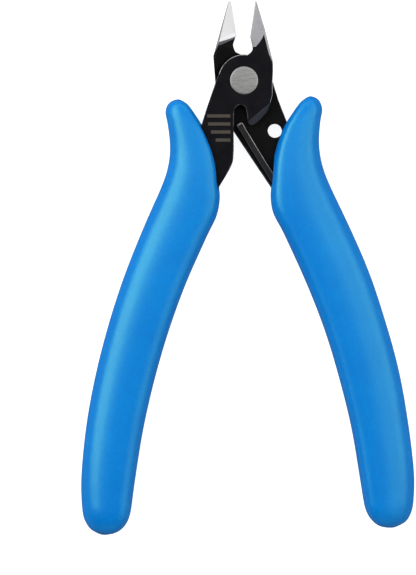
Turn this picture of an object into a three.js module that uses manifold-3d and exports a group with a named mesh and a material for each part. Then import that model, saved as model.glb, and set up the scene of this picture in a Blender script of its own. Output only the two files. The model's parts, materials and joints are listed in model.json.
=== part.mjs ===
// Flush cut pliers, 125 mm long, lying flat with their handles spread.
//
// Millimetres. +Y runs from the handles to the blade tips and +Z points up. Each arm is drawn
// closed, with the pivot at the origin and its cutting edge along x = 0, and a group then turns
// it open about the pivot. Heights are drawn from the middle of the lap joint.

import * as THREE from "three";
import { mergeVertices } from "three/addons/utils/BufferGeometryUtils.js";
import Module from "manifold-3d";

const wasm = await Module();
wasm.setup();

// Driving dimensions
const OPEN_ANGLE = THREE.MathUtils.degToRad(8.33); // turn of each arm from closed to open
const TIP_Y = 19.15; // blade tips
const EDGE_X = 0.02; // each cutting edge stops this far short of the middle
const PLATE = 2.6; // thickness of each arm's plate
const LAP = 0.05; // each plate's face stands this far from the middle of the lap joint
const CHAMFER = 0.15; // broken edges of the plates
const BOSS_RADIUS = 6.05; // round part of each plate, over the other arm
const SEAT_RADIUS = 6.2; // arc in each full-thickness jaw that the other arm's boss turns in
const JAW_END_ANGLE = THREE.MathUtils.degToRad(20); // where that arc ends, from the X axis
const BORE_RADIUS = 2.3;
const SHANK_RADIUS = 2.22;
const RIVET_HEAD_RADIUS = 3.28;
const COUNTERBORE_RADIUS = 3.38;
const COUNTERBORE_DEPTH = 0.7;
const RIVET_PROUD = 0.12; // how far each rivet head stands out of its plate
const HANG_HOLE = { x: 5.37, y: -12.53, radius: 1.66 };
const SPRING_ANCHOR = { x: 6.4, y: -30.9 }; // where the spring's tail turns down into the rear tang
const SPRING_HEAD = { x: -2.75, y: -9.5 }; // middle of its free end, with the tool open
const SPRING_WIDTH = 1.4;
const SPRING_DEPTH = 1.5;
const SPRING_LIFT = 0.1; // gap between the spring and the rear plate under it
const SPRING_SWING = THREE.MathUtils.degToRad(6.7); // its turn while the tool closes
const TAIL_RADIUS = 0.7;
const GRIP_HALF = 5; // half the thickness of a grip
const SLEEVE_GAP = 0.3; // between a grip and the tang inside it
const SIDE_LEAN = 0.13; // slope of the jaws' outer sides, which lean in towards the front
const RUN_OUT_LEAN = 0.6; // how far the wall round a ground facet leans over the jaw's thickness
const TAB_SLOPE = [1, -0.91, 1.5]; // which way the sloped corner of the tab faces
const SCOOP_SLOPE = [0.13, -0.37, 1]; // which way the left jaw's front faces, below its crease
const HONED_WIDTH = 0.45; // the finer bevel along the right blade's cutting edge, at the tip
const HONED_LENGTH = 9.5; // from the tip to where that bevel dies out
const HONED_SLOPE = 0.6;
const CURVE_STEPS = 6; // straight pieces to each stretch of an outline's curves
const ROUND_STEPS = 48; // straight pieces to a full circle

const FRONT_LOW = LAP;
const FRONT_HIGH = LAP + PLATE;
const REAR_LOW = -LAP - PLATE;
const REAR_HIGH = -LAP;
const CUTTING_EDGE_Z = REAR_LOW + 0.35; // the edge stands this far over the flush rear face
const LEFT_JAW_HIGH = FRONT_HIGH - 0.3; // the left jaw's front is a little lower than the plate

const point = (x, y) => new THREE.Vector2(x, y);

// Manifold from a closed three.js geometry
function solid(geometry) {
  const bare = new THREE.BufferGeometry();
  bare.setAttribute("position", geometry.getAttribute("position"));
  bare.setIndex(geometry.getIndex());
  const merged = mergeVertices(bare, 1e-5);
  return new wasm.Manifold(new wasm.Mesh({
    numProp: 3,
    vertProperties: merged.getAttribute("position").array,
    triVerts: new Uint32Array(merged.getIndex().array),
  }));
}

// Named mesh from a manifold, with flat shading
function part(name, body, material) {
  const result = body.getMesh();
  const indexed = new THREE.BufferGeometry();
  indexed.setAttribute("position", new THREE.BufferAttribute(result.vertProperties, 3));
  indexed.setIndex(new THREE.BufferAttribute(result.triVerts, 1));
  const geometry = indexed.toNonIndexed();
  geometry.computeVertexNormals();
  const mesh = new THREE.Mesh(geometry, material);
  mesh.name = name;
  return mesh;
}

// Prism of a shape between two heights; its edges are chamfered and its outline can be grown
function prism(shape, low, high, chamfer = 0, grow = 0) {
  const geometry = new THREE.ExtrudeGeometry(shape, {
    depth: high - low - 2 * chamfer,
    curveSegments: CURVE_STEPS,
    bevelEnabled: chamfer > 0,
    bevelThickness: chamfer,
    bevelSize: chamfer,
    bevelOffset: grow - chamfer,
    bevelSegments: 1,
  });
  return solid(geometry.translate(0, 0, low + chamfer));
}

function cylinder(x, y, radius, low, high) {
  const geometry = new THREE.CylinderGeometry(radius, radius, high - low, ROUND_STEPS);
  return solid(geometry.rotateX(Math.PI / 2).translate(x, y, (low + high) / 2));
}

// Everything on the side of a plane that its normal points to, as a large block
function beyond(origin, normal) {
  const size = 80;
  const block = new THREE.BoxGeometry(size, size, size).translate(0, 0, size / 2);
  const turn = new THREE.Quaternion().setFromUnitVectors(
    new THREE.Vector3(0, 0, 1),
    new THREE.Vector3(...normal).normalize(),
  );
  return solid(block.applyQuaternion(turn).translate(...origin));
}

// The tang inside a grip, from its outer shoulder round its end to its inner shoulder.
// side is +1 for the right handle and -1 for the left one.
function addTang(shape, side) {
  const outer = [[10.9, -20], [13, -31], [16.2, -44], [19.2, -58], [21, -70]];
  const end = [[20.9, -73], [19.8, -74.7], [17.6, -74.9], [16, -73.3]];
  const inner = [[15.2, -70], [13.3, -58], [9.8, -44], [5.4, -32.5], [2.5, -25.6]];
  for (const [x, y] of [...outer, ...end, ...inner]) {
    shape.lineTo(side * x, y);
  }
}

// Left handle, boss, tab and right blade: the arm on top
function frontOutline() {
  const shape = new THREE.Shape();
  shape.moveTo(EDGE_X, TIP_Y);
  shape.lineTo(EDGE_X, 10.6);
  shape.splineThru([point(0.54, 9.28), point(0.98, 7.85), point(0.72, 6.78), point(0, BOSS_RADIUS)]);
  shape.absarc(0, 0, BOSS_RADIUS, Math.PI / 2, 0.96 * Math.PI, false);
  shape.lineTo(-6.46, -0.86);
  shape.lineTo(-7.84, -7.96);
  shape.lineTo(-8.4, -11.4);
  addTang(shape, -1);
  shape.splineThru([point(-0.3, -20.2), point(-0.1, -17.2), point(-0.86, -11.74)]);
  shape.lineTo(-1.38, -7.2);
  shape.splineThru([point(-0.95, -6.2), point(0.04, -5.72), point(1.0, -6), point(1.44, -6.68)]);
  shape.lineTo(1.92, -8.27);
  shape.splineThru([point(2.2, -9.4), point(2.75, -9.95), point(3.6, -9.85), point(4.55, -8.9)]);
  shape.splineThru([point(5.95, -7.05), point(6.6, -5.35), point(7.04, -2.47)]);
  shape.lineTo(6.57, 0.94);
  shape.lineTo(6.16, 4.94);
  shape.lineTo(6.04, 5.84);
  shape.lineTo(3.19, 12.95);
  shape.lineTo(0.39, TIP_Y);
  return shape;
}

// Right handle, boss and left blade: the arm underneath
function rearOutline() {
  const shape = new THREE.Shape();
  shape.moveTo(-EDGE_X, TIP_Y);
  shape.lineTo(-EDGE_X, 11.1);
  shape.splineThru([point(-1.03, 9.3), point(-1.27, 8.3), point(-0.97, 7), point(-0.35, 6.5), point(0, 6.25)]);
  shape.absarc(0, 0, BOSS_RADIUS, 0.46 * Math.PI, -0.03 * Math.PI, true);
  shape.lineTo(6.66, -1.31);
  shape.lineTo(7.27, -5.59);
  shape.lineTo(8.4, -10.7);
  addTang(shape, 1);
  shape.lineTo(0.21, -20.64);
  shape.lineTo(-4.13, -11.25);
  shape.lineTo(-5.07, -7.64);
  shape.splineThru([point(-6.64, -4.48), point(-7.04, -2.47)]);
  shape.lineTo(-6.64, 0.92);
  shape.lineTo(-6.21, 6.57);
  shape.lineTo(-6.12, 7.17);
  shape.lineTo(-4.07, 11.68);
  shape.lineTo(-0.75, TIP_Y);
  return shape;
}

// The sector of a jaw that is as thick as both plates together: outside the other arm's boss
// and above a radial line. side is +1 for the right jaw and -1 for the left one.
function jawZone(side) {
  const reach = 30;
  const shape = new THREE.Shape();
  shape.moveTo(0, 0);
  shape.lineTo(side * reach, reach * Math.tan(JAW_END_ANGLE));
  shape.lineTo(side * reach, reach);
  shape.lineTo(-side * BOSS_RADIUS, reach);
  shape.lineTo(-side * BOSS_RADIUS, BOSS_RADIUS);
  const zone = prism(shape, REAR_LOW, FRONT_HIGH);
  return zone.subtract(cylinder(0, 0, SEAT_RADIUS, REAR_LOW - 1, FRONT_HIGH + 1));
}

// The ground facet on each blade: how steeply it rises from the cutting edge, and its edge on the
// jaw's front, measured out from the cutting edge, which goes on past the blade
const RIGHT_FACET = {
  slope: 1.5,
  outline: [
    [3.05, 12.9], [3.2, 11.8], [2.9, 10.5], [2.36, 9.27], [1.62, 8.15], [0.9, 8], [-3, 8], [-3, 24], [3, 24],
  ],
};
const LEFT_FACET = {
  slope: 0.8,
  outline: [[3.82, 9.8], [2.25, 10.02], [0.37, 10.38], [-3, 11.2], [-3, 24], [5, 24], [5, 9.6]],
};

// What grinding takes off the front of a blade: above a plane that rises from the cutting edge,
// and inside a run-out whose wall leans. With a honed width, the plane starts that far from the
// cutting edge at the tip, and nearer lower down.
function groundFacet(side, { slope, outline }, honedWidth = 0) {
  const depth = FRONT_HIGH - REAR_LOW;
  const shape = new THREE.Shape(outline.map(([x, y]) => point(side * x, y)));
  const geometry = new THREE.ExtrudeGeometry(shape, {
    depth: 1,
    bevelThickness: depth,
    bevelSize: RUN_OUT_LEAN,
    bevelOffset: -RUN_OUT_LEAN,
    bevelSegments: 1,
  });
  const runOut = solid(geometry.translate(0, 0, FRONT_HIGH));
  const start = [side * (EDGE_X + honedWidth), TIP_Y, CUTTING_EDGE_Z + honedWidth * HONED_SLOPE];
  const taper = ((slope - HONED_SLOPE) * honedWidth) / HONED_LENGTH;
  return runOut.intersect(beyond(start, [-side * slope, taper, 1]));
}

// What is outside a stretch of a jaw's outer side, which leans in towards the front
function jawSide(side, upper, lower) {
  const along = lower.clone().sub(upper).normalize();
  const normal = [side * Math.abs(along.y), Math.abs(along.x), SIDE_LEAN];
  return beyond([upper.x, upper.y, REAR_LOW], normal);
}

function frontArm(material) {
  const outline = frontOutline();
  const jaw = prism(outline, REAR_LOW, FRONT_HIGH).intersect(jawZone(1));
  const facet = groundFacet(1, RIGHT_FACET, HONED_WIDTH);
  const honed = beyond([EDGE_X, TIP_Y, CUTTING_EDGE_Z], [-HONED_SLOPE, 0, 1]);
  const bulge = point(3.19, 12.95);
  const upperSide = jawSide(1, point(0.39, TIP_Y), bulge);
  const lowerSide = jawSide(1, bulge, point(6.04, 5.84));
  const underBoss = new THREE.Shape([point(1, -12), point(9, -12), point(9, -1), point(1, -1)]);
  const tabSlope = beyond([4, -7.28, FRONT_HIGH], TAB_SLOPE)
    .intersect(prism(underBoss, FRONT_LOW, FRONT_HIGH + 1));
  return part(
    "front_arm",
    prism(outline, FRONT_LOW, FRONT_HIGH, CHAMFER)
      .add(jaw)
      .subtract(facet.intersect(honed))
      .subtract(upperSide)
      .subtract(lowerSide)
      .subtract(tabSlope)
      .subtract(cylinder(0, 0, BORE_RADIUS, REAR_LOW, FRONT_HIGH + 1))
      .subtract(cylinder(0, 0, COUNTERBORE_RADIUS, FRONT_HIGH - COUNTERBORE_DEPTH, FRONT_HIGH + 1)),
    material,
  );
}

function rearArm(material) {
  const outline = rearOutline();
  const scoop = beyond([-3.16, 7.02, LEFT_JAW_HIGH], SCOOP_SLOPE);
  const jaw = prism(outline, REAR_LOW, LEFT_JAW_HIGH).intersect(jawZone(-1)).subtract(scoop);
  const facet = groundFacet(-1, LEFT_FACET);
  const side = jawSide(-1, point(-0.75, TIP_Y), point(-6.12, 7.17));
  return part(
    "rear_arm",
    prism(outline, REAR_LOW, REAR_HIGH, CHAMFER)
      .add(jaw)
      .subtract(facet)
      .subtract(side)
      .subtract(cylinder(0, 0, BORE_RADIUS, REAR_LOW - 1, FRONT_HIGH))
      .subtract(cylinder(0, 0, COUNTERBORE_RADIUS, REAR_LOW - 1, REAR_LOW + COUNTERBORE_DEPTH))
      .subtract(cylinder(HANG_HOLE.x, HANG_HOLE.y, HANG_HOLE.radius, REAR_LOW - 1, 0))
      .subtract(cylinder(SPRING_ANCHOR.x, SPRING_ANCHOR.y, TAIL_RADIUS + 0.1, REAR_LOW - 1, 0)),
    material,
  );
}

function pivotRivet(material) {
  const seat = 0.05;
  const headTop = FRONT_HIGH + RIVET_PROUD;
  const headLow = FRONT_HIGH - COUNTERBORE_DEPTH + seat;
  const rim = 0.12;
  const half = [
    [SHANK_RADIUS, 0],
    [SHANK_RADIUS, headLow],
    [RIVET_HEAD_RADIUS, headLow],
    [RIVET_HEAD_RADIUS, headTop - rim],
    [RIVET_HEAD_RADIUS - rim, headTop],
    [0, headTop],
  ];
  const upper = half.map(([radius, z]) => point(radius, z));
  const lower = half.slice(1).map(([radius, z]) => point(radius, -z)).reverse();
  const geometry = new THREE.LatheGeometry([...lower, ...upper], ROUND_STEPS);
  return part("pivot_rivet", solid(geometry.rotateX(Math.PI / 2)), material);
}

// A straight leaf with a blunt head, and a tail that turns down into the rear tang.
// It is drawn with its tail at the origin and its head up +Y.
function returnSpring(material) {
  const low = SPRING_LIFT;
  const high = low + SPRING_DEPTH;
  const half = SPRING_WIDTH / 2;
  const length = Math.hypot(SPRING_HEAD.x - SPRING_ANCHOR.x, SPRING_HEAD.y - SPRING_ANCHOR.y);
  const corner = 0.35;
  const shape = new THREE.Shape();
  shape.moveTo(half, 0);
  shape.lineTo(half, length - corner);
  shape.lineTo(half - corner, length);
  shape.lineTo(corner - half, length);
  shape.lineTo(-half, length - corner);
  shape.lineTo(-half, 0);
  shape.absarc(0, 0, half, Math.PI, 2 * Math.PI, false);
  const tail = cylinder(0, 0, TAIL_RADIUS - 0.02, REAR_LOW + CHAMFER, (low + high) / 2);
  const mesh = part("return_spring", prism(shape, low, high, CHAMFER).add(tail), material);
  mesh.position.set(SPRING_ANCHOR.x, SPRING_ANCHOR.y, 0);
  mesh.rotation.z = springTurn();
  return mesh;
}

function springTurn() {
  return Math.atan2(SPRING_ANCHOR.x - SPRING_HEAD.x, SPRING_HEAD.y - SPRING_ANCHOR.y);
}

// The space that the spring sweeps inside the right grip
function springPocket() {
  const clear = SPRING_WIDTH / 2 + 0.4;
  const reach = 16;
  const shape = new THREE.Shape();
  const left = springTurn() + Math.PI / 2;
  const right = left - SPRING_SWING;
  const along = (angle, offset, distance) => point(
    SPRING_ANCHOR.x + distance * Math.cos(angle) - offset * Math.sin(angle),
    SPRING_ANCHOR.y + distance * Math.sin(angle) + offset * Math.cos(angle),
  );
  shape.absarc(SPRING_ANCHOR.x, SPRING_ANCHOR.y, clear, left + Math.PI / 2, right + 1.5 * Math.PI, false);
  shape.lineTo(...along(right, -clear, reach).toArray());
  shape.lineTo(...along(left, clear, reach).toArray());
  return prism(shape, REAR_HIGH, SPRING_LIFT + SPRING_DEPTH + SLEEVE_GAP);
}

// Stations down each grip from its top to its end: y, inner x, outer x and half thickness.
// x is measured out from the middle of the closed tool. The left grip sits lower and is slimmer.
const RIGHT_GRIP = [
  [-5.75, 14.6, 14.6, 0],
  [-6, 13.9, 15.3, 1.5],
  [-6.5, 12.8, 16.2, 2.35],
  [-7.5, 11.6, 16.85, 3],
  [-9.4, 9.8, 17.1, 3.6],
  [-12.4, 7.3, 16.1, 4.05],
  [-18, 4.4, 15, 4.5],
  [-24, 2.85, 15.35, 4.85],
  [-30, 1.75, 16.95, GRIP_HALF],
  [-36, 3.55, 18.75, GRIP_HALF],
  [-48, 6.95, 21.95, GRIP_HALF],
  [-60, 9.65, 24, GRIP_HALF],
  [-72, 11.35, 25.4, GRIP_HALF],
  [-84, 12.4, 25.7, GRIP_HALF],
  [-96, 12.55, 25.3, GRIP_HALF],
  [-102.6, 12.65, 24.2, GRIP_HALF],
  [-105, 13.25, 23.45, 4.6],
  [-106.7, 14.35, 22.4, 3.8],
  [-107.9, 16, 20.8, 2.5],
  [-108.5, 18.4, 18.4, 0],
];
const LEFT_GRIP = [
  [-6.2, 14.5, 14.5, 0],
  [-6.45, 13.7, 15.3, 1.5],
  [-6.95, 12.6, 16.2, 2.35],
  [-7.95, 11.45, 17, 3],
  [-9.85, 9.75, 17.2, 3.6],
  [-12.8, 7.35, 16.2, 4.05],
  [-18.5, 4.2, 14.9, 4.5],
  [-24.5, 2.6, 15.15, 4.85],
  [-30.2, 1.7, 16.65, GRIP_HALF],
  [-36.5, 3.45, 18.45, GRIP_HALF],
  [-48.5, 6.95, 21.45, GRIP_HALF],
  [-60.5, 9.5, 23.6, GRIP_HALF],
  [-72.5, 11.25, 25, GRIP_HALF],
  [-84.5, 12.25, 25.55, GRIP_HALF],
  [-96.5, 12.5, 25.1, GRIP_HALF],
  [-103.4, 12.5, 24, GRIP_HALF],
  [-106, 13.05, 23.25, 4.6],
  [-107.8, 14.25, 22.1, 3.8],
  [-109, 16.1, 20.5, 2.5],
  [-109.6, 18.3, 18.3, 0],
];

// Rounded slab lofted through a grip's stations, on the right of the tool
function gripBody(stations) {
  const steps = 3;
  const section = gripSection();
  const around = section.length;
  const count = steps * (stations.length - 1);
  const inner = new THREE.SplineCurve(stations.map(([y, near]) => point(near, y)));
  const outer = new THREE.SplineCurve(stations.map(([y, , far]) => point(far, y)));
  const height = new THREE.SplineCurve(stations.map(([y, , , half]) => point(half, y)));
  const positions = [];
  const faces = [];
  for (let step = 1; step < count; step += 1) {
    const near = inner.getPoint(step / count);
    const far = outer.getPoint(step / count);
    const half = Math.min(GRIP_HALF, height.getPoint(step / count).x);
    for (const [across, up] of section) {
      const mix = (across + 1) / 2;
      positions.push(
        THREE.MathUtils.lerp(near.x, far.x, mix),
        THREE.MathUtils.lerp(near.y, far.y, mix),
        half * up,
      );
    }
  }
  const rings = count - 1;
  for (let ring = 0; ring + 1 < rings; ring += 1) {
    for (let k = 0; k < around; k += 1) {
      const next = (k + 1) % around;
      const [a, b] = [ring * around + k, ring * around + next];
      faces.push(a, b, b + around, a, b + around, a + around);
    }
  }
  const top = positions.length / 3;
  positions.push(inner.getPoint(0).x, inner.getPoint(0).y, 0, inner.getPoint(1).x, inner.getPoint(1).y, 0);
  for (let k = 0; k < around; k += 1) {
    const next = (k + 1) % around;
    const last = (rings - 1) * around;
    faces.push(top, next, k, top + 1, last + k, last + next);
  }
  const geometry = new THREE.BufferGeometry();
  geometry.setAttribute("position", new THREE.Float32BufferAttribute(positions, 3));
  geometry.setIndex(faces);
  return solid(geometry);
}

// Points round the unit section, from its outer side at +1 to its inner side at -1: flat on top,
// below and at the sides, with a long round on the outer side and a tight one on the inner side
function gripSection() {
  const steps = 6;
  const outer = { flatTop: 0, flatSide: 0.12 };
  const inner = { flatTop: 0.5, flatSide: 0.5 };
  const points = [];
  for (const [side, upper] of [[1, 1], [-1, 1], [-1, -1], [1, -1]]) {
    const { flatTop, flatSide } = side > 0 ? outer : inner;
    for (let step = 0; step <= steps; step += 1) {
      const turn = side * upper > 0 ? step : steps - step;
      const angle = (turn / steps) * (Math.PI / 2);
      points.push([
        side * (flatTop + (1 - flatTop) * Math.cos(angle)),
        upper * (flatSide + (1 - flatSide) * Math.sin(angle)),
      ]);
    }
  }
  return points;
}

function leftGrip(material) {
  const body = gripBody(LEFT_GRIP).mirror([1, 0, 0]);
  return part("left_grip", body.subtract(sleeve(frontOutline(), FRONT_LOW, FRONT_HIGH)), material);
}

function rightGrip(material) {
  const body = gripBody(RIGHT_GRIP).subtract(springPocket());
  return part("right_grip", body.subtract(sleeve(rearOutline(), REAR_LOW, REAR_HIGH)), material);
}

// The room that an arm needs inside its grip
function sleeve(outline, low, high) {
  return prism(outline, low - SLEEVE_GAP, high + SLEEVE_GAP, CHAMFER, SLEEVE_GAP);
}

function finish(color, roughness, metalness) {
  return new THREE.MeshStandardMaterial({ color, roughness, metalness });
}

const frontSide = new THREE.Group();
frontSide.rotation.z = -OPEN_ANGLE;
frontSide.add(
  frontArm(finish(0x18171c, 0.35, 0.6)),
  leftGrip(finish(0x2b96d8, 0.4, 0)),
);

const rearSide = new THREE.Group();
rearSide.rotation.z = OPEN_ANGLE;
rearSide.add(
  rearArm(finish(0x111111, 0.4, 0.6)),
  pivotRivet(finish(0x9b9b98, 0.35, 1)),
  returnSpring(finish(0x26262a, 0.4, 0.8)),
  rightGrip(finish(0x2b96d8, 0.4, 0)),
);

// The origin is under the middle of the open tool, on the surface it lies on
const pliers = new THREE.Group();
pliers.name = "flush_cut_pliers";
pliers.add(frontSide, rearSide);
pliers.updateMatrixWorld(true);
const middle = new THREE.Box3().setFromObject(pliers, true).getCenter(new THREE.Vector3());
pliers.position.set(-middle.x, -middle.y, GRIP_HALF);

export default pliers;
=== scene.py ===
"""Looks of the flush cut pliers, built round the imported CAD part.

Metres, in the CAD frame: the tool lies flat on z = 0 with its handles spread, +Y runs to the blade
tips and +Z is up. Each arm is measured in its own closed frame: the pivot at the origin and the
cutting edge along +Y.
"""

import json
import math

import bmesh
import bpy
import numpy as np
from mathutils import Matrix, Vector


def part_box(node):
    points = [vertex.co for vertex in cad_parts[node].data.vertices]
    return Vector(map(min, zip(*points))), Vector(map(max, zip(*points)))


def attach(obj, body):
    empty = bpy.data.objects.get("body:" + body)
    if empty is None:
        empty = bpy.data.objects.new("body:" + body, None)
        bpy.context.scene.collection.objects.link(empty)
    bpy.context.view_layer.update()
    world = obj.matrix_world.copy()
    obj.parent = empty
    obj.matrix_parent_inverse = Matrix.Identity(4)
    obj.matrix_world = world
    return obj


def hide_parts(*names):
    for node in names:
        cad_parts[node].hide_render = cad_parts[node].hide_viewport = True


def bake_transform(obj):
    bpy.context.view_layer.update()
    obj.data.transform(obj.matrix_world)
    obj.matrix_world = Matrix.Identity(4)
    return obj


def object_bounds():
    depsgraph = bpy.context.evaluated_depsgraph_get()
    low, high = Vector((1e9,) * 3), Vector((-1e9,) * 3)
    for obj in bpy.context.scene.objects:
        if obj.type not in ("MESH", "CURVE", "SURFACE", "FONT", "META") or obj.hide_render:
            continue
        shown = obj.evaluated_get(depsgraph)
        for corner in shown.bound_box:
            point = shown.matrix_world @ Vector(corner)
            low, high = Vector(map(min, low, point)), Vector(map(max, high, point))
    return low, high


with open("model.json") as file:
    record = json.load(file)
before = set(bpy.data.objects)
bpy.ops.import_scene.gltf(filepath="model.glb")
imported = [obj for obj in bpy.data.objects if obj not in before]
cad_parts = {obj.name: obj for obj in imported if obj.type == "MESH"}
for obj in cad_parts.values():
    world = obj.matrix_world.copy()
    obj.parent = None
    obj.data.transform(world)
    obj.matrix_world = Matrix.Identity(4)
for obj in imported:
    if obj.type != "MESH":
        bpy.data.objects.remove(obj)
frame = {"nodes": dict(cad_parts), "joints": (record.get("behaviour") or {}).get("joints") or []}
cad_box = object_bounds()

MM = 0.001
UP = Vector((0, 0, 1))
FORWARD = Vector((0, 1, 0))  # along the cutting edge in an arm's closed frame
FRONT, REAR = -1, 1  # side of the pivot that each arm's handle is on

JOINTS = {joint["name"]: joint for joint in frame["joints"]}
PIVOT = Vector(JOINTS["jaw_pivot"]["pos_m"])
ANCHOR = Vector(JOINTS["spring_flex"]["pos_m"])
OPEN_TURN = math.radians(8.33)  # turn of each arm from closed to open
MID_Z = PIVOT.z  # middle of the lap joint
PLATE_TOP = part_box("front_arm")[1].z - MID_Z  # outer face of the upper plate above the middle
PLATE_LAP = 0.05 * MM  # each plate's inner face from the middle
FLOOR_GLOW = 0.92  # a light table, so the floor stays white beside and under the tool
TILT = math.radians(0.49)  # the camera's roll, which leans the tool a little to the left


def closed_frame(side):
    """CAD frame to the closed frame of the arm whose handle is on this side, FRONT or REAR."""
    return Matrix.Rotation(-side * OPEN_TURN, 4, "Z") @ Matrix.Translation(-PIVOT)


# ---------------------------------------------------------------- node helpers


class Nodes:
    """A new material and short calls that add and link its nodes."""

    MIX_COLOURS = 6, 7  # the Mix node's colour inputs
    MIX_RESULT = 2

    def __init__(self, name):
        self.material = bpy.data.materials.new(name)
        self.material.use_nodes = True
        self.tree = self.material.node_tree
        self.tree.nodes.clear()
        self.output = self.tree.nodes.new("ShaderNodeOutputMaterial")
        self.shader = self.tree.nodes.new("ShaderNodeBsdfPrincipled")
        self.link(self.shader.outputs[0], self.output.inputs["Surface"])

    def link(self, source, target):
        self.tree.links.new(source, target)

    def new(self, kind, inputs=None, **settings):
        node = self.tree.nodes.new(kind)
        for key, value in settings.items():
            setattr(node, key, value)
        for key, value in (inputs or {}).items():
            if isinstance(value, bpy.types.NodeSocket):
                self.link(value, node.inputs[key])
            else:
                node.inputs[key].default_value = value
        return node

    def coordinates(self, scale=(1, 1, 1), turn=0.0):
        source = self.new("ShaderNodeTexCoord").outputs["Object"]
        mapping = self.new("ShaderNodeMapping", {"Vector": source, "Scale": scale})
        mapping.inputs["Rotation"].default_value = (0, 0, turn)
        return mapping.outputs[0]

    def noise(self, size, detail=3.0, roughness=0.55, stretch=(1, 1, 1), turn=0.0):
        """Noise whose blotches are about size across, in metres."""
        scale = tuple(s / size for s in stretch)
        inputs = {"Vector": self.coordinates(scale, turn), "Scale": 1.0}
        inputs.update({"Detail": detail, "Roughness": roughness})
        return self.new("ShaderNodeTexNoise", inputs).outputs[0]

    def spread(self, source, low, high, start=0.0, end=1.0):
        """Source from start to end, spread to run from low to high."""
        inputs = {"Value": source, "From Min": start, "From Max": end, "To Min": low, "To Max": high}
        return self.new("ShaderNodeMapRange", inputs).outputs[0]

    def math(self, operation, first, second=0.0):
        return self.new("ShaderNodeMath", {0: first, 1: second}, operation=operation).outputs[0]

    def mix(self, factor, first, second):
        """Colour between first and second, each a colour or a socket."""
        node = self.new("ShaderNodeMix", {0: factor}, data_type="RGBA")
        for key, value in zip(self.MIX_COLOURS, (first, second)):
            if isinstance(value, bpy.types.NodeSocket):
                self.link(value, node.inputs[key])
            else:
                node.inputs[key].default_value = (*value, 1)
        return node.outputs[self.MIX_RESULT]

    def bump(self, height, depth, strength=1.0, below=None):
        inputs = {"Height": height, "Distance": depth, "Strength": strength}
        if below is not None:
            inputs["Normal"] = below
        return self.new("ShaderNodeBump", inputs).outputs[0]

    def product(self, first, *others):
        for other in others:
            first = self.math("MULTIPLY", first, other)
        return first

    def total(self, first, second):
        return self.math("ADD", first, second)

    def finish(self, **sockets):
        """Fills the shader's sockets, named in lower case, and returns the material."""
        for key, value in sockets.items():
            name = key.replace("_", " ").title().replace("Ior", "IOR")
            if isinstance(value, bpy.types.NodeSocket):
                self.link(value, self.shader.inputs[name])
            elif isinstance(value, tuple):
                self.shader.inputs[name].default_value = (*value, 1)
            else:
                self.shader.inputs[name].default_value = value
        return self.material


# ---------------------------------------------------------------- materials

BAR_TOP = -7.9  # etched bars, in mm about the pivot: upper edge of the first
BAR_PITCH = 1.87
BAR_SHARE = 0.4  # bar height as a share of the pitch
BAR_COUNT = 4
BAR_RIGHT = -3.2  # they line up on the right
BAR_LEFT = -8.6  # left end of the first
BAR_SHORTENING = 0.22  # how fast the left end moves in, by the square of the bar's number
BAR_LOW_Z = 2.4  # they are only on the upper face


def etched_bars(n):
    """Mask of four plain etched bars on the front arm, below the boss: 1 where it is etched."""
    per_mm = 1 / MM
    place = n.new(
        "ShaderNodeMapping",
        {
            "Vector": n.new("ShaderNodeTexCoord").outputs["Object"],
            "Location": Matrix.Rotation(TILT, 3, "Z") @ PIVOT * -per_mm,
            "Rotation": (0, 0, TILT),
            "Scale": (per_mm, per_mm, per_mm),
        },
    ).outputs[0]
    x, y, z = n.new("ShaderNodeSeparateXYZ", {0: place}).outputs
    down = n.math("DIVIDE", n.math("SUBTRACT", BAR_TOP, y), BAR_PITCH)
    number = n.math("FLOOR", down)
    left = n.total(n.product(number, number, BAR_SHORTENING), BAR_LEFT)
    return n.product(
        n.math("LESS_THAN", n.math("FRACT", down), BAR_SHARE),
        n.math("GREATER_THAN", number, -0.5),
        n.math("LESS_THAN", number, BAR_COUNT - 0.5),
        n.math("GREATER_THAN", x, left),
        n.math("LESS_THAN", x, BAR_RIGHT),
        n.math("GREATER_THAN", z, BAR_LOW_Z),
    )


def blackened_steel(name, dark, light, etched=False):
    """Black oxide over ground steel: near black, satin, with faint cloudy patches."""
    n = Nodes(name)
    clouds = n.noise(2.2 * MM, detail=4)
    grain = n.noise(0.12 * MM, detail=2)
    colour = n.mix(n.spread(clouds, 0, 1, 0.3, 0.7), dark, light)
    if etched:
        blotches = n.spread(n.noise(0.12 * MM, detail=2), 0.3, 0.5, 0.35, 0.65)
        colour = n.mix(n.product(etched_bars(n), blotches), colour, (0.14, 0.12, 0.095))
    rough = n.total(n.spread(clouds, 0.34, 0.46), n.spread(grain, -0.04, 0.04))
    bump = n.bump(grain, 0.006 * MM, 0.5)
    return n.finish(base_color=colour, roughness=rough, normal=bump, specular_ior_level=0.07)


def ground_steel(name, dark, light, turn, roughness, metallic):
    """Bare steel off a grinding wheel: fine lines, turned about +Z, over a fine grain."""
    n = Nodes(name)
    lines = n.noise(0.9 * MM, detail=5, stretch=(1, 14, 1), turn=turn)
    grains = n.noise(0.3 * MM, detail=4)
    amount = n.total(n.product(lines, 0.4), n.product(grains, 0.6))
    colour = n.mix(n.spread(amount, 0, 1, 0.35, 0.65), dark, light)
    rough = n.spread(lines, roughness - 0.06, roughness + 0.08, 0.3, 0.7)
    bump = n.bump(lines, 0.004 * MM, 0.6)
    return n.finish(base_color=colour, roughness=rough, normal=bump, metallic=metallic)


def edge_wear_and_highlight(name, dark, light, metallic=0.8, size=2.4 * MM):
    """Edges and slopes in blotches of this size: wear where handling has thinned the black finish, and
    painted highlights and painted reflections on the bright chamfers, the spring and the band below the
    left facet's foot.
    """
    n = Nodes(name)
    blotches = n.noise(size, detail=6)
    colour = n.mix(n.spread(blotches, 0, 1, 0.42, 0.62), dark, light)
    rough = n.spread(blotches, 0.3, 0.42)
    return n.finish(base_color=colour, roughness=rough, metallic=metallic)


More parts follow.
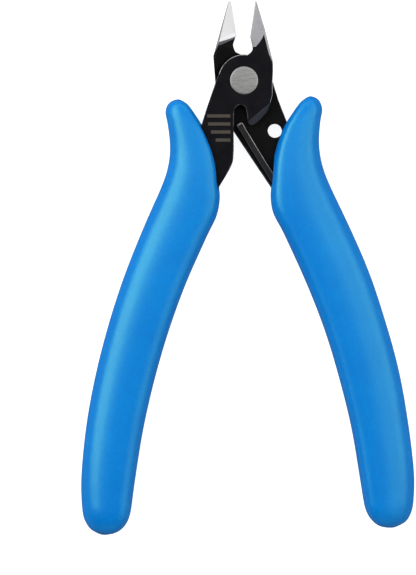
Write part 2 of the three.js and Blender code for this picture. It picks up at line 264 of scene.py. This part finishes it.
def brushed_rivet(name):
    """Rivet face with straight fine brushing."""
    n = Nodes(name)
    lines = n.noise(1.4 * MM, detail=6, roughness=0.7, stretch=(0.6, 14, 1))
    clouds = n.noise(3 * MM, detail=2)
    colour = n.mix(n.spread(lines, 0, 1, 0.35, 0.65), (0.22, 0.22, 0.216), (0.4, 0.4, 0.393))
    rough = n.total(n.spread(lines, 0.3, 0.44, 0.3, 0.7), n.spread(clouds, -0.03, 0.03))
    bump = n.bump(lines, 0.008 * MM, 0.7)
    return n.finish(base_color=colour, roughness=rough, normal=bump, metallic=1.0)


def blue_vinyl(name):
    """Dipped vinyl: satin, softly mottled, with fine specks and pits in the skin."""
    n = Nodes(name)
    clouds = n.noise(9 * MM, detail=3)
    specks = n.noise(0.45 * MM, detail=3)
    grain = n.noise(0.8 * MM, detail=4)
    pits = n.noise(0.7 * MM, detail=3)
    base = n.mix(n.spread(clouds, 0, 1, 0.3, 0.7), (0.0, 0.16, 0.545), (0.0, 0.186, 0.585))
    mottled = n.mix(n.spread(grain, 0, 0.4, 0.4, 0.65), base, (0.0, 0.14, 0.52))
    colour = n.mix(n.spread(specks, 0, 0.5, 0.6, 0.72), mottled, (0.012, 0.28, 0.68))
    rough = n.total(n.spread(pits, 0.28, 0.38, 0.3, 0.7), n.spread(specks, -0.03, 0.03))
    skin = n.bump(specks, 0.01 * MM, 0.35)
    bump = n.bump(pits, 0.03 * MM, 0.25, below=skin)
    return n.finish(
        base_color=colour,
        roughness=rough,
        normal=bump,
        ior=1.6,
        specular_tint=(0.3, 1.0, 0.36),
    )


def pale_floor(name):
    """Matt white that glows like a light table."""
    n = Nodes(name)
    clouds = n.noise(0.2, detail=2)
    colour = n.mix(clouds, (0.39, 0.39, 0.39), (0.41, 0.41, 0.41))
    return n.finish(
        base_color=colour,
        roughness=0.7,
        specular_ior_level=0.1,
        emission_color=(1.0, 1.0, 1.0),
        emission_strength=FLOOR_GLOW,
    )


# ---------------------------------------------------------------- mesh helpers

WELD = 0.001 * MM
FLAT_ANGLE = math.radians(0.6)  # faces that turn less than this are one flat face


def add_piece(name, mesh, materials=()):
    piece = bpy.data.objects.new(name, mesh)
    bpy.context.scene.collection.objects.link(piece)
    for material in materials:
        mesh.materials.append(material)
    return piece


def node_bmesh(node):
    """A copy of the CAD node's solid as one welded bmesh with flat n-gons."""
    bm = bmesh.new()
    bm.from_mesh(frame["nodes"][node].data)
    bmesh.ops.remove_doubles(bm, verts=bm.verts, dist=WELD)
    bmesh.ops.dissolve_limit(bm, angle_limit=FLAT_ANGLE, verts=bm.verts, edges=bm.edges, delimit=set())
    bm.normal_update()
    return bm


def to_mesh(bm, name, smooth_angle=None):
    """The bmesh as a mesh, smooth across edges up to smooth_angle degrees if that is given."""
    mesh = bpy.data.meshes.new(name)
    bm.to_mesh(mesh)
    bm.free()
    if smooth_angle is not None:
        mesh.shade_smooth()
        mesh.set_sharp_from_angle(angle=math.radians(smooth_angle))
    return mesh


def loft(bm, rings):
    """Joins closed rings of vertices in a row and returns the lists of side faces, ring by ring."""
    count = len(rings[0])
    bands = []
    for first, second in zip(rings, rings[1:]):
        band = []
        for k in range(count):
            n = (k + 1) % count
            band.append(bm.faces.new((first[k], first[n], second[n], second[k])))
        bands.append(band)
    return bands


def cap(bm, rings):
    """Closes both ends of a loft and returns the last end's face."""
    bm.faces.new(list(reversed(rings[0])))
    return bm.faces.new(rings[-1])


def stand_for(node):
    """Hides the CAD node that a piece stands in for."""
    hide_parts(node)


def apply_modifiers(piece):
    graph = bpy.context.evaluated_depsgraph_get()
    mesh = bpy.data.meshes.new_from_object(piece.evaluated_get(graph))
    piece.modifiers.clear()
    old = piece.data
    piece.data = mesh
    bpy.data.meshes.remove(old)


# ---------------------------------------------------------------- steel arms

BLACK, BARE, EDGE, HONED_AND_HIGHLIT, SIDE, WORN_HIGHLIT_EDGE, SLOPE = range(7)

BOSS_RADIUS = 6.05 * MM
TAB_SLOPE_Y = -4 * MM  # the tab's slope is below this
BY_TAB_Y = (-3.6 * MM, 0.6 * MM)  # stretch of the front arm's right edge whose chamfer is worn and has a painted highlight
RIGHT_SIDE_LOW = 5.8 * MM  # where the bare outer side of each jaw dies out
LEFT_SIDE_LOW = 8.8 * MM
SIDE_CUT_SLANT = -0.45  # lean of the line where it ends
FACET_LOW_Y = 7.4 * MM  # lowest point of the ground facets
FLUSH_LINE_Y = 10.6 * MM  # the flush rear face is bare above this line
FOOT_TOP = Vector((-2.28, 11.15, 0)) * MM  # a point on the top line of the left facet's foot, which is painted near white as a painted highlight
FOOT_UP = Vector((-0.252, 0.968, 0))  # square to that line
FOOT_BAND = 1.55 * MM  # from that line to the end of the blue-grey band below it, a painted reflection
RIM_REACH = 0.12 * MM  # chamfers lie this near the plates' faces
CHAMFER_AREA = 4 * MM * MM  # and are smaller than this
BEVEL = 0.06 * MM
BROKEN_ANGLE = math.radians(22)  # edges that turn more than this are broken
NOTCH_CORNER = Vector((0.176 * MM, 6.19 * MM))  # where the arms' corners meet, in the closed frame
NOTCH_CORNER_EASE = 0.03 * MM


def is_flank(normal):
    """Whether a face is on the leaning outer side of a jaw, or on anything else as steep."""
    return 0.1 < normal.z < 0.2


def is_foot(face):
    return face.material_index == BARE and 0.75 < face.normal.z < 0.8


def is_black_front(face):
    return face.material_index == BLACK and face.normal.z > 0.99


def arm_face_kind(normal, centre, area, side, side_low):
    """Which finish a face of an arm has. normal and centre are in its closed frame."""
    blade_side = -side  # the blade is on the other side of the pivot from the handle
    outward = blade_side * normal.x
    to_rim = min(abs(abs(centre.z) - PLATE_TOP), abs(abs(centre.z) - PLATE_LAP))
    if 0.6 < abs(normal.z) < 0.8 and to_rim < RIM_REACH and area < CHAMFER_AREA:
        # chamfers on the boss's arc and by the tab get wear with a painted highlight
        on_circle = abs(centre.xy.length - BOSS_RADIUS) < 0.2 * MM
        on_boss = on_circle and centre.y > 0 > blade_side * centre.x
        by_tab = side == FRONT and outward > 0.6 and BY_TAB_Y[0] < centre.y < BY_TAB_Y[1]
        return WORN_HIGHLIT_EDGE if on_boss or by_tab else EDGE
    if centre.y < TAB_SLOPE_Y and 0.6 < normal.z < 0.8:
        return SLOPE
    if centre.y > FACET_LOW_Y:
        if outward < -0.3 and 0.3 < normal.z < 0.8:
            return BARE
        if outward < 0.5 and 0.03 < normal.z < 0.3 and normal.y > 0.2:
            return BARE
        if outward < -0.3 and 0.8 < normal.z < 0.9:
            return HONED_AND_HIGHLIT
    if centre.y + SIDE_CUT_SLANT * centre.z > side_low and is_flank(normal) and outward > 0.8:
        return SIDE
    if centre.y > FLUSH_LINE_Y and (normal.z < -0.9 or abs(normal.z) < 0.1):
        return BARE
    return BLACK


def cut_faces(bm, faces, at, normal):
    """Splits the faces along a plane, so that each side of it can have its own finish."""
    edges = list({e for f in faces for e in f.edges})
    corners = list({v for f in faces for v in f.verts})
    bmesh.ops.bisect_plane(bm, geom=faces + edges + corners, plane_co=at, plane_no=normal)


def finish_facet_foot(bm, back):
    """Marks the left facet's foot near white, a painted highlight, and a blue-grey band on the flat black
    front below it, a painted reflection of a slope that is not modelled.
    """
    top = back @ FOOT_TOP
    up = back.to_3x3() @ FOOT_UP
    cut_faces(bm, [f for f in bm.faces if is_foot(f)], top, up)
    for face in bm.faces:
        if is_foot(face) and (face.calc_center_median() - top).dot(up) < 0:
            face.material_index = HONED_AND_HIGHLIT
    low = top - up * FOOT_BAND
    cut_faces(bm, [f for f in bm.faces if is_black_front(f)], low, up)
    for face in bm.faces:
        if is_black_front(face) and (face.calc_center_median() - low).dot(up) > 0:
            face.material_index = SLOPE


def mark_broken_edges(bm):
    """Weights the convex edges that the bevel breaks."""
    weight = bm.edges.layers.float.new("bevel_weight_edge")
    for edge in bm.edges:
        if edge.is_convex and edge.calc_face_angle(0) > BROKEN_ANGLE:
            edge[weight] = 1


def ease_notch_corner(arm, side):
    """Pulls an arm's corner beside the notch back, so that the two arms' corners clear when closed."""
    to_closed = closed_frame(side)
    away = to_closed.inverted().to_3x3() @ Vector((-side * NOTCH_CORNER_EASE, 0, 0))
    for vertex in arm.data.vertices:
        if ((to_closed @ vertex.co).xy - NOTCH_CORNER).length < NOTCH_CORNER_EASE:
            vertex.co += away


def steel_arm(node, name, side, body, finishes, side_low):
    """The CAD arm with its faces finished by kind, its edges broken and its flats kept flat."""
    bm = node_bmesh(node)
    to_closed = closed_frame(side)
    back = to_closed.inverted()
    turn = to_closed.to_3x3()
    along = back.to_3x3() @ FORWARD
    underside = [f for f in bm.faces if f.normal.z < -0.9]
    cut_faces(bm, underside, back @ (FORWARD * FLUSH_LINE_Y), along)
    flanks = [f for f in bm.faces if is_flank(f.normal)]
    cut_faces(bm, flanks, back @ (FORWARD * side_low), along + UP * SIDE_CUT_SLANT)
    for face in bm.faces:
        centre = to_closed @ face.calc_center_median()
        normal = turn @ face.normal
        face.material_index = arm_face_kind(normal, centre, face.calc_area(), side, side_low)
    if side == REAR:
        finish_facet_foot(bm, back)
    mark_broken_edges(bm)
    arm = add_piece(name, to_mesh(bm, name), [finishes[kind] for kind in sorted(finishes)])
    arm.data.shade_smooth()
    bevel = arm.modifiers.new("broken_edges", "BEVEL")
    bevel.width = BEVEL
    bevel.segments = 2
    bevel.limit_method = "WEIGHT"
    normals = arm.modifiers.new("flat_faces", "WEIGHTED_NORMAL")
    normals.weight = 100
    apply_modifiers(arm)
    ease_notch_corner(arm, side)
    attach(arm, body)
    stand_for(node)


def front_arm(edge, wear_and_highlight_edge):
    finishes = {
        BLACK: blackened_steel("front_black", (0.0025, 0.0025, 0.004), (0.005, 0.0048, 0.0068), True),
        # the right blade's ground faces are painted darker than the left blade's: painted shade on the
        # same steel
        BARE: ground_steel("front_blade", (0.26, 0.26, 0.275), (0.42, 0.42, 0.435), 0.2, 0.5, 0.2),
        EDGE: edge,
        HONED_AND_HIGHLIT: ground_steel("honed_edge", (0.32, 0.32, 0.33), (0.4, 0.4, 0.4), 0.0, 0.45, 0.3),
        # the right jaw's bare flank is painted lighter than the left jaw's: a painted highlight on the
        # same steel
        SIDE: ground_steel("right_jaw_side", (0.4, 0.4, 0.41), (0.65, 0.65, 0.65), 0.0, 0.45, 0.2),
        WORN_HIGHLIT_EDGE: wear_and_highlight_edge,
        SLOPE: edge_wear_and_highlight("burnished_slope", (0.027, 0.025, 0.024), (0.042, 0.039, 0.037), 0.2),
    }
    steel_arm("front_arm", "front_arm_steel", FRONT, "front_side", finishes, RIGHT_SIDE_LOW)


def rear_arm(edge, wear_and_highlight_edge):
    finishes = {
        BLACK: blackened_steel("rear_black", (0.0018, 0.0018, 0.0022), (0.0036, 0.0036, 0.004)),
        # the left blade's ground faces are painted near white: a painted reflection on the same steel as
        # the right blade's
        BARE: ground_steel("rear_blade", (0.72, 0.72, 0.73), (0.79, 0.79, 0.79), -0.2, 0.5, 0.3),
        EDGE: edge,
        # the left facet's foot and the rear arm's honed strips are painted near white: a painted
        # highlight where the opposite jaw darkens the reflection
        HONED_AND_HIGHLIT: ground_steel("facet_foot", (0.78, 0.78, 0.8), (0.84, 0.84, 0.84), 0.0, 0.5, 0.15),
        # the left jaw's bare flank is painted darker than the right jaw's: painted shade on the same
        # steel
        SIDE: ground_steel("left_jaw_side", (0.22, 0.22, 0.23), (0.42, 0.42, 0.42), 0.0, 0.45, 0.2),
        WORN_HIGHLIT_EDGE: wear_and_highlight_edge,
        # a blue-grey band painted on the flat black front below the facet's foot: a painted reflection of
        # a slope that is not modelled
        SLOPE: edge_wear_and_highlight("painted_reflection_band", (0.05, 0.048, 0.06), (0.08, 0.075, 0.09), 0.2),
    }
    steel_arm("rear_arm", "rear_arm_steel", REAR, "rear_side", finishes, LEFT_SIDE_LOW)


# ---------------------------------------------------------------- rivet


def pivot_rivet(material):
    """Lathed rivet with slightly crowned faces and rolled rims."""
    low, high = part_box("pivot_rivet")
    centre = (low + high) / 2
    radius = (high.x - low.x) / 2
    half = (high.z - low.z) / 2
    shank = 2.2 * MM  # radius between the heads
    head = 0.75 * MM  # height of each head
    rim = 0.16 * MM
    crown = 0.04 * MM
    crown_steps = 8
    rim_steps = 6
    around = 96
    profile = [(0.0, half)]
    for step in range(1, crown_steps + 1):
        r = (radius - rim) * step / crown_steps
        profile.append((r, half - crown * (r / radius) ** 2))
    for step in range(1, rim_steps + 1):
        angle = math.pi / 2 * step / rim_steps
        r = radius - rim + rim * math.sin(angle)
        profile.append((r, half - crown - rim + rim * math.cos(angle)))
    profile.append((radius, half - head))
    profile.append((shank, half - head))
    profile += [(r, -z) for r, z in reversed(profile)]
    bm = bmesh.new()
    verts = [bm.verts.new((r, 0, z)) for r, z in profile]
    edges = [bm.edges.new(pair) for pair in zip(verts, verts[1:])]
    bmesh.ops.spin(
        bm, geom=verts + edges, cent=(0, 0, 0), axis=UP, angle=2 * math.pi, steps=around,
        use_merge=True, use_duplicate=False,
    )
    bmesh.ops.remove_doubles(bm, verts=bm.verts, dist=WELD / 10)
    bmesh.ops.recalc_face_normals(bm, faces=bm.faces)
    bmesh.ops.translate(bm, verts=bm.verts, vec=centre)
    rivet = add_piece("pivot_rivet_steel", to_mesh(bm, "pivot_rivet_steel", 40), [material])
    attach(rivet, "rear_side")
    stand_for("pivot_rivet")


# ---------------------------------------------------------------- spring

SPRING_WIDTH = 1.4 * MM
SPRING_DEPTH = 1.5 * MM
SPRING_CORNER = 0.22 * MM
SPRING_BOW = 0.12 * MM  # how far the leaf's middle stands off its chord
CORNER_STEPS = 4
LEFT_EDGE, RIGHT_EDGE, CAP = 1, 2, 3  # finishes of the leaf after its black one: painted highlights, faint on the left edge, bright on the right edge, middling on the head's end


def leaf_section():
    """Rounded rectangle across the leaf: offsets to its left and up, from the upper left corner on."""
    section = []
    for corner, (left, up) in enumerate(((1, 1), (-1, 1), (-1, -1), (1, -1))):
        for k in range(CORNER_STEPS + 1):
            angle = math.pi / 2 * (corner + k / CORNER_STEPS)
            section.append((
                left * (SPRING_WIDTH / 2 - SPRING_CORNER) + SPRING_CORNER * math.cos(angle),
                up * (SPRING_DEPTH / 2 - SPRING_CORNER) + SPRING_CORNER * math.sin(angle),
            ))
    return section


def leaf_shape(distance, length):
    """Share of its width that the leaf has at a distance from its anchor, and its top's drop there."""
    tail_reach = SPRING_WIDTH / 2
    blunt_length = 0.4 * MM
    blunt_drop = 0.3 * MM
    blunt_share = 0.28  # of the width, lost at the very end of the head
    flare_length = 1.4 * MM
    flare_rise = 0.5 * MM
    flare_share = 0.14  # of the width, gained by the head
    tail_share = 0.02  # of the width, left at the very end of the tail
    round_end = 1.0
    if distance < 0:
        circle = math.sqrt(max(0.0, 1 - (distance / tail_reach) ** 2))
        round_end = circle * (1 - tail_share) + tail_share
    blunt = min(1.0, (length - distance) / blunt_length)
    flare = min(1.0, max(0.0, (distance - length + flare_length) / flare_rise))
    share = round_end * (1 - blunt_share + blunt_share * blunt + flare_share * flare * blunt)
    return share, (1 - blunt) * blunt_drop


def finish_leaf(bands, end):
    """Marks the leaf's two upper edges, and its head's end with the end's last band but the underside,
    for their painted highlights.
    """
    per_corner = CORNER_STEPS + 1
    for band in bands:
        for k, face in enumerate(band):
            corner, step = divmod(k, per_corner)
            if corner < 2 and step in (1, 2):
                face.material_index = (LEFT_EDGE, RIGHT_EDGE)[corner]
    for face in bands[-1][:2 * per_corner]:
        face.material_index = CAP
    end.material_index = CAP


def return_spring(materials):
    """Leaf with rounded edges and a blunt, slightly wider head, and its tail down in the rear tang.
    """
    low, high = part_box("return_spring")
    middle_z = high.z - SPRING_DEPTH / 2
    head_inset = 0.75 * MM
    head = Vector((low.x + head_inset, high.y - head_inset, 0))
    start = Vector((ANCHOR.x, ANCHOR.y, 0))
    along = (head - start).normalized()
    across = UP.cross(along)
    length = (head - start).length + 0.5 * MM
    tail = SPRING_WIDTH / 2
    steps = 64
    bm = bmesh.new()
    rings = []
    for step in range(steps + 1):
        t = step / steps
        distance = -tail + (length + tail) * t
        share, drop = leaf_shape(distance, length)
        centre = start + along * distance + across * SPRING_BOW * math.sin(math.pi * t)
        ring = []
        for u, w in leaf_section():
            z = middle_z + w - (drop if w > 0 else 0)
            ring.append(bm.verts.new(centre + across * (u * share) + UP * z))
        rings.append(ring)
    bands = loft(bm, rings)
    finish_leaf(bands, cap(bm, rings))
    tail_pin = 0.66 * MM
    tail_pin_length = 3.3 * MM
    tail_pin_z = high.z - SPRING_DEPTH - 1.2 * MM
    bmesh.ops.create_cone(
        bm, cap_ends=True, segments=32, radius1=tail_pin, radius2=tail_pin, depth=tail_pin_length,
        matrix=Matrix.Translation((start.x, start.y, tail_pin_z)),
    )
    bmesh.ops.recalc_face_normals(bm, faces=bm.faces)
    spring = add_piece("return_spring_leaf", to_mesh(bm, "return_spring_leaf", 35), materials)
    stand_for("return_spring")
    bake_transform(spring)


# ---------------------------------------------------------------- grips

VOXEL = 0.28 * MM
OUTER_ROUND = 2.2  # exponents of the section's two halves: 2 is an ellipse, more is boxier
INNER_ROUND = 3.5
CREST = -0.25  # where the section is thickest: +1 is its outer side and -1 its inner one
GROW = 0.1 * MM  # the vinyl hugs the steel this much closer than the CAD sleeve does
STATIONS = 34
STATION_STEPS = 5
SECTION_POINTS = 80


def grip_stations(node, side):
    """Slices of the CAD grip across its arm's closed frame: y, inner x, outer x, half thickness.

    They lie closer together towards the grip's two ends.
    """
    to_closed = np.array(closed_frame(side))
    mesh = frame["nodes"][node].data
    co = np.array([v.co for v in mesh.vertices])
    co = co @ to_closed[:3, :3].T + to_closed[:3, 3]
    co[:, 0] *= side
    edges = np.array([e.vertices for e in mesh.edges])
    a, b = co[edges[:, 0]], co[edges[:, 1]]
    low, high = co[:, 1].min(), co[:, 1].max()
    margin = 0.02 * MM
    stations = []
    for k in range(STATIONS):
        mix = (1 - math.cos(math.pi * k / (STATIONS - 1))) / 2
        y = high - margin - (high - low - 2 * margin) * mix
        crossing = (a[:, 1] - y) * (b[:, 1] - y) < 0
        pa, pb = a[crossing], b[crossing]
        share = ((y - pa[:, 1]) / (pb[:, 1] - pa[:, 1]))[:, None]
        points = pa + (pb - pa) * share
        stations.append((
            y,
            points[:, 0].min(),
            points[:, 0].max(),
            min(np.abs(points[:, 2]).max(), MID_Z),
        ))
    return stations


def smooth_stations(stations):
    """Catmull-Rom through the stations, with STATION_STEPS rows from each one to the next."""
    p = np.array(stations)
    p = np.vstack([2 * p[0] - p[1], p, 2 * p[-1] - p[-2]])
    rows = []
    for i in range(1, len(p) - 2):
        for k in range(STATION_STEPS):
            t = k / STATION_STEPS
            rows.append(0.5 * (
                2 * p[i]
                + (p[i + 1] - p[i - 1]) * t
                + (2 * p[i - 1] - 5 * p[i] + 4 * p[i + 1] - p[i + 2]) * t ** 2
                + (3 * p[i] - p[i - 1] - 3 * p[i + 1] + p[i + 2]) * t ** 3
            ))
    rows.append(p[-2])
    rows = np.array(rows)
    half_thickness = rows[:, 3]
    half_thickness.clip(0, MID_Z, out=half_thickness)
    return rows


def grip_section():
    """Unit section from its outer side at +1 to its inner side at -1.

    The crest is nearer the inner side, which turns down tightly; the outer side is a long round.
    """
    points = []
    for k in range(SECTION_POINTS):
        angle = 2 * math.pi * k / SECTION_POINTS
        across, up = math.cos(angle), math.sin(angle)
        outer = across > 0
        power = 2 / (OUTER_ROUND if outer else INNER_ROUND)
        reach = (1 - CREST) if outer else (1 + CREST)
        points.append((
            CREST + math.copysign(abs(across) ** power, across) * reach,
            math.copysign(abs(up) ** power, up),
        ))
    return points


def grip_body(node, side):
    """Domed slab lofted through the CAD grip's slices, in the CAD frame."""
    back = closed_frame(side).inverted()
    bm = bmesh.new()
    rings = []
    for y, inner, outer, half in smooth_stations(grip_stations(node, side)):
        ring = []
        for across, up in grip_section():
            x = (inner + outer) / 2 + (outer - inner) / 2 * across
            ring.append(bm.verts.new(back @ Vector((side * x, y, half * up))))
        rings.append(ring)
    loft(bm, rings)
    cap(bm, rings)
    bmesh.ops.recalc_face_normals(bm, faces=bm.faces)
    return to_mesh(bm, node + "_body")


def vinyl_grip(node, name, side, body, material):
    """The domed body, opened like the CAD grip for its arm and spring, with soft rolled lips."""
    sleeve = add_piece(node + "_sleeve", to_mesh(node_bmesh(node), node + "_sleeve"))
    grow = sleeve.modifiers.new("grow", "DISPLACE")
    grow.strength = GROW
    grow.mid_level = 0
    piece = add_piece(name, grip_body(node, side), [material])
    bpy.context.view_layer.update()
    opening = piece.modifiers.new("opening", "BOOLEAN")
    opening.operation = "INTERSECT"
    opening.solver = "MANIFOLD"
    opening.object = sleeve
    skin = piece.modifiers.new("skin", "REMESH")
    skin.mode = "VOXEL"
    skin.voxel_size = VOXEL
    soften = piece.modifiers.new("soften", "SMOOTH")
    soften.factor = 0.5
    soften.iterations = 14
    apply_modifiers(piece)
    bpy.data.objects.remove(sleeve)
    piece.data.shade_smooth()
    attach(piece, body)
    stand_for(node)


# ---------------------------------------------------------------- studio

FLOOR_HALF = 3  # half of the floor's width
# name, place, width and height, power
LIGHTS = (
    ("key_left", (-0.51, 0.24, 0.5), (0.7, 0.46), 5.4),
    ("strip_right", (0.58, 0.2, 0.43), (0.7, 0.34), 1.5),
    ("fill_left", (-0.3, 0.1, 0.77), (0.8, 0.25), 0.2),
    ("fill_right", (0.34, 0.1, 0.75), (0.8, 0.36), 0.8),
    ("fill_head", (0.0, 0.22, 0.8), (0.9, 0.18), 0.85),
    ("low_right", (0.26, -0.06, 0.25), (0.5, 0.4), 0.5),
    ("head_light", (0.0, 0.75, 0.5), (1.0, 0.4), 2.0),
    ("foot_light", (0.0, -0.85, 0.45), (1.0, 0.35), 0.6),
)


def floor(material):
    """The ground under the tool. Reflections miss it, so the grips' rims stay dark on white."""
    bm = bmesh.new()
    bmesh.ops.create_grid(bm, x_segments=1, y_segments=1, size=FLOOR_HALF)
    ground = add_piece("floor", to_mesh(bm, "floor"), [material])
    ground.location.z = cad_box[0].z
    ground.visible_glossy = False


def softbox(name, place, size, power):
    """Area light that faces the frame's origin, under the middle of the tool."""
    light = bpy.data.lights.new(name, "AREA")
    light.shape = "RECTANGLE"
    light.size, light.size_y = size
    light.energy = power
    box = bpy.data.objects.new(name, light)
    bpy.context.scene.collection.objects.link(box)
    box.location = place
    box.rotation_euler = (-Vector(place)).to_track_quat("-Z", "Y").to_euler()


def studio():
    """A dim room with soft lights: a broad key on the left and narrower ones all round."""
    world = bpy.data.worlds.new("studio")
    world.use_nodes = True
    background = world.node_tree.nodes["Background"]
    background.inputs["Color"].default_value = (0.95, 0.97, 1.0, 1)
    background.inputs["Strength"].default_value = 0.05
    bpy.context.scene.world = world
    for light in LIGHTS:
        softbox(*light)


def camera():
    """Looks straight down from far off; the picture is view_height tall at the pivot's middle."""
    view_height = 134.35 * MM
    lens = 200
    sensor = 36
    from_pivot = Vector((-8.41, -48.22, 0)) * MM  # middle of the picture, along its own sides
    data = bpy.data.cameras.new("camera")
    data.lens = lens
    data.sensor_width = sensor
    data.clip_start = 0.01
    data.clip_end = 20
    view = bpy.data.objects.new("camera", data)
    bpy.context.scene.collection.objects.link(view)
    turn = Matrix.Rotation(-TILT, 3, "Z")
    view.location = PIVOT + turn @ from_pivot + UP * (view_height * lens / sensor)
    view.rotation_euler = (0, 0, -TILT)
    bpy.context.scene.camera = view


camera()
studio()
floor(pale_floor("floor"))
bpy.context.scene.view_settings.view_transform = "Standard"

worn = edge_wear_and_highlight("edge_wear_and_highlight", (0.03, 0.03, 0.034), (0.26, 0.25, 0.25))
# wear with a painted highlight, for the chamfers round the boss and by the tab
worn_and_highlit_edges = edge_wear_and_highlight("wear_and_highlight_edge", (0.4, 0.39, 0.38), (0.85, 0.83, 0.8))
front_arm(worn, worn_and_highlit_edges)
rear_arm(worn, worn_and_highlit_edges)
pivot_rivet(brushed_rivet("rivet_steel"))
return_spring([
    blackened_steel("spring_black", (0.010, 0.010, 0.011), (0.017, 0.017, 0.019)),
    # painted highlights along the leaf's edges and on its end; the right edge is painted far brighter
    # than the left
    edge_wear_and_highlight("spring_left_edge", (0.03, 0.03, 0.032), (0.06, 0.06, 0.06), 0.2, 3 * MM),
    edge_wear_and_highlight("spring_right_edge", (0.3, 0.29, 0.27), (0.5, 0.49, 0.46), 0.1, 3 * MM),
    edge_wear_and_highlight("spring_cap", (0.09, 0.09, 0.095), (0.16, 0.16, 0.165), 0.2),
])
vinyl = blue_vinyl("blue_vinyl")
vinyl_grip("left_grip", "left_grip_vinyl", FRONT, "front_side", vinyl)
vinyl_grip("right_grip", "right_grip_vinyl", REAR, "rear_side", vinyl)

bpy.context.view_layer.update()
